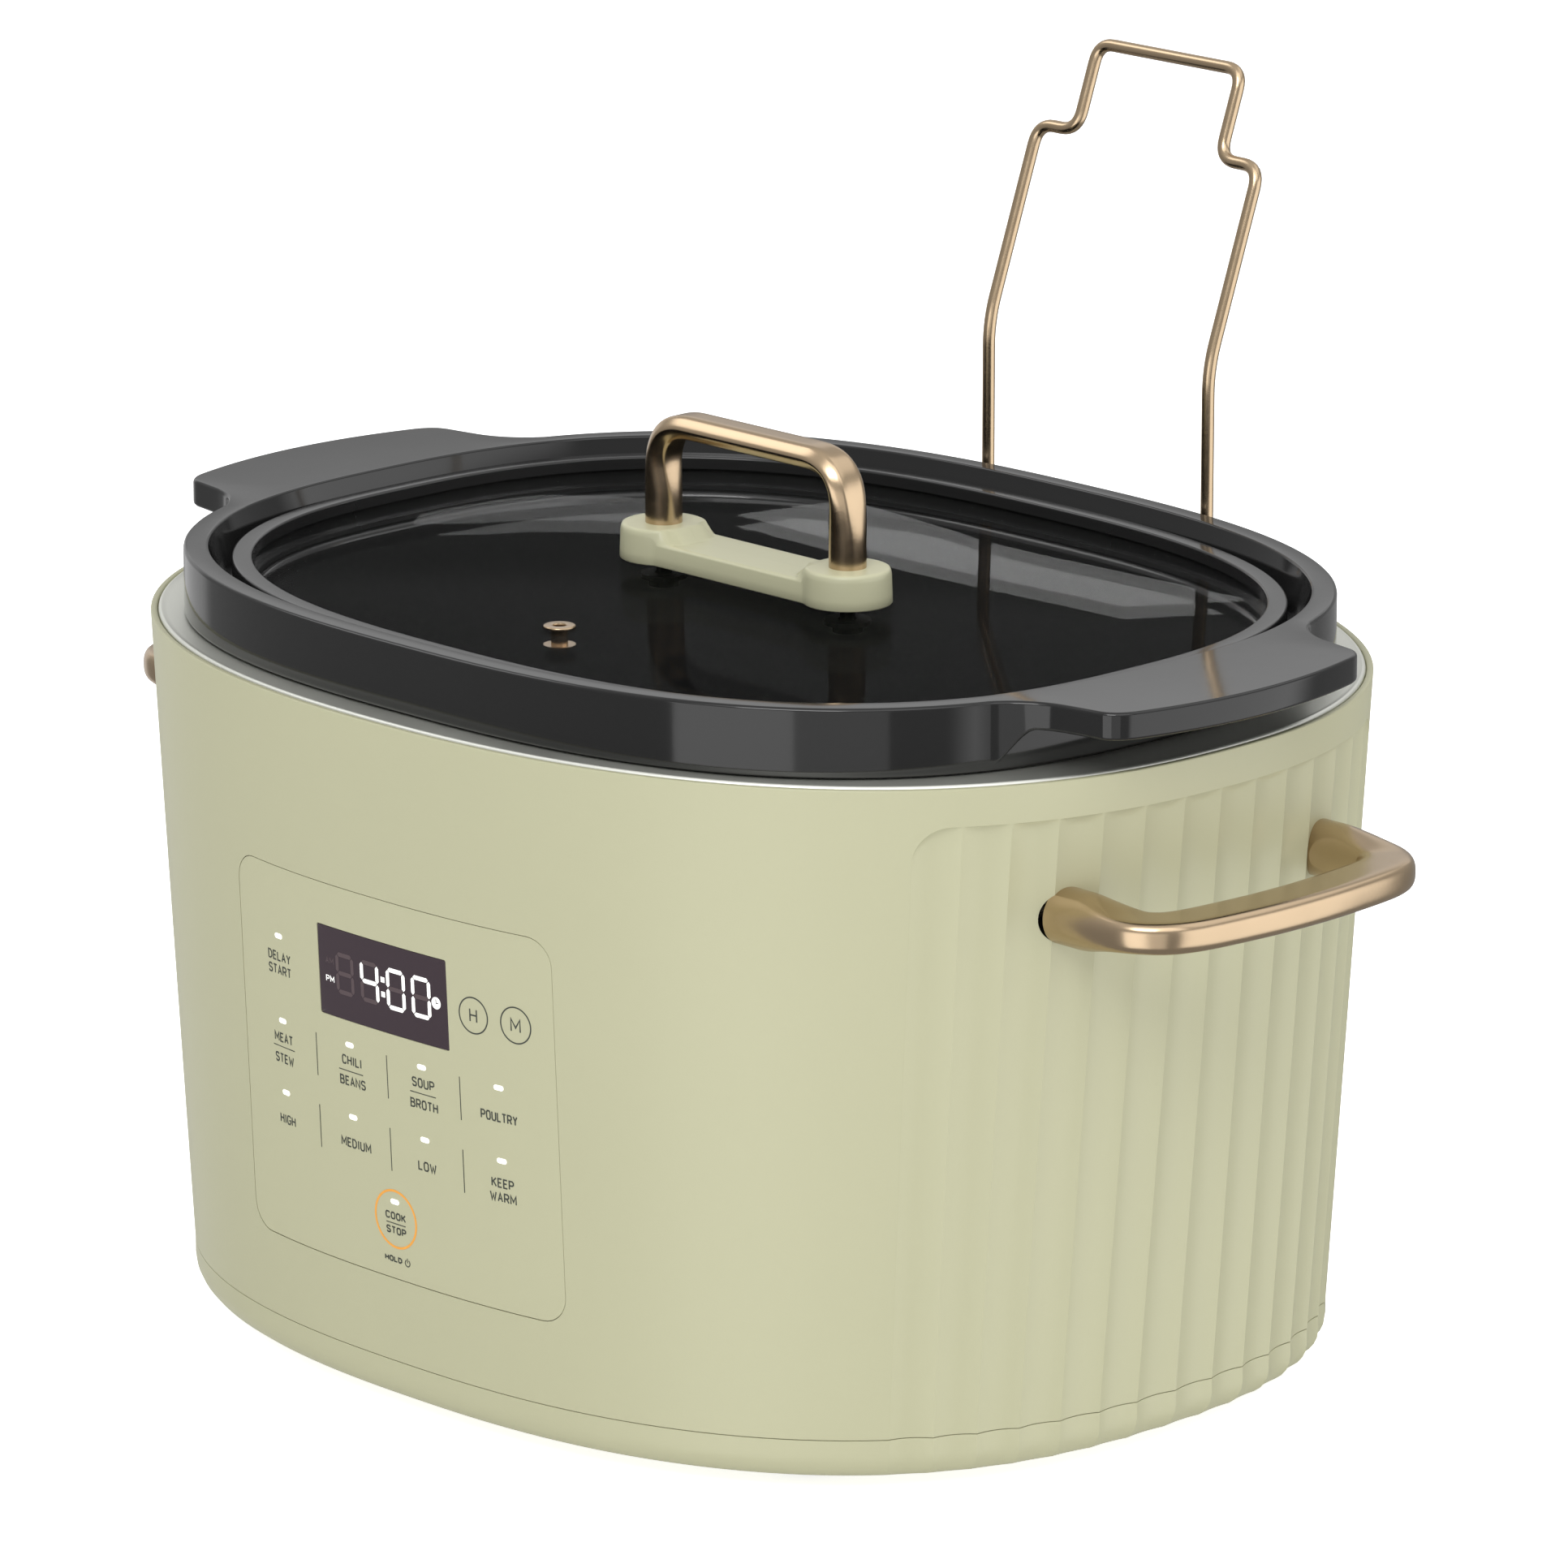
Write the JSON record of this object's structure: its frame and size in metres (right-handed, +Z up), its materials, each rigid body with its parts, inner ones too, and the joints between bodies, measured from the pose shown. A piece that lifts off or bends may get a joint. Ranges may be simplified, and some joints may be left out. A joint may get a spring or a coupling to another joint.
{
  "type": "slow cooker",
  "caption": "Oval countertop slow cooker with a lift-out crock, glass lid, side handles, a programmable control panel and a wire rack that holds the lid.",
  "frame": {"origin": "on the table, under the middle of the cooker's bounding box", "axes": "+X to the cooker's right end, -Y out of the front with the control panel, +Z up"},
  "size_m": [0.4498, 0.3272, 0.3592],
  "materials": {
    "sage": "satin sage paint",
    "silver": "spun satin aluminium",
    "overlay": "fine matte printed film",
    "lens": "dark tinted clear",
    "crock": "gloss black glaze",
    "glass": "clear tempered",
    "black": "satin black",
    "champagne": "satin champagne gold plating",
    "steel": "zinc plated",
    "rubber": "matte",
    "silicone": "matte olive silicone",
    "board": "green solder mask",
    "component": "moulded epoxy",
    "copper": "varnished winding and foil",
    "ivory": "moulded",
    "insulation": "glass fibre felt"
  },
  "bodies": {
    "housing": {"outer_shell": "sage", "base_tray": "sage", "foot_front_left": "rubber", "foot_front_right": "rubber", "foot_back_left": "rubber", "foot_back_right": "rubber", "heating_liner": "silver", "main_heater": "copper", "keep_warm_heater": "copper", "insulation_wrap": "insulation", "heat_shield": "steel", "liner_stud": "steel", "liner_nut": "steel", "temperature_sensor": "steel", "thermal_fuse": "ivory", "control_overlay": "overlay", "display_lens": "lens", "display_module": "component", "light_guide": "ivory", "control_board": "board", "microcontroller": "component", "buzzer": "component", "board_screw_1": "steel", "board_screw_2": "steel", "board_screw_3": "steel", "board_screw_4": "steel", "power_board": "board", "power_board_screw_1": "steel", "power_board_screw_2": "steel", "power_board_screw_3": "steel", "power_board_screw_4": "steel", "transformer": "copper", "relay": "component", "capacitor": "component", "terminal_block": "ivory", "side_handle_left": "champagne", "handle_plate_left": "steel", "handle_screw_front_left": "steel", "handle_screw_back_left": "steel", "rack_socket_left": "steel", "side_handle_right": "champagne", "handle_plate_right": "steel", "handle_screw_front_right": "steel", "handle_screw_back_right": "steel", "rack_socket_right": "steel", "cord_gland": "rubber"},
    "crock": {"crock": "crock"},
    "lid": {"lid_glass": "glass", "lid_rim": "black", "pad_gasket": "silicone", "lid_handle_pad": "sage", "lid_handle_bow": "champagne", "lid_screw_left": "steel", "lid_washer_left": "silicone", "lid_screw_right": "steel", "lid_washer_right": "silicone", "steam_vent": "champagne"},
    "rack": {"lid_rack": "champagne"}
  },
  "joints": [
    {"name": "crock_lift", "type": "slide", "parent": "housing", "child": "crock", "axis": [0, 0, 1], "range_m": [0, 0.17]},
    {"name": "lid_lift", "type": "slide", "parent": "crock", "child": "lid", "axis": [0, 0, 1], "range_m": [0, 0.15]},
    {"name": "rack_lift", "type": "slide", "parent": "housing", "child": "rack", "axis": [0, 0, 1], "range_m": [0, 0.06]}
  ]
}
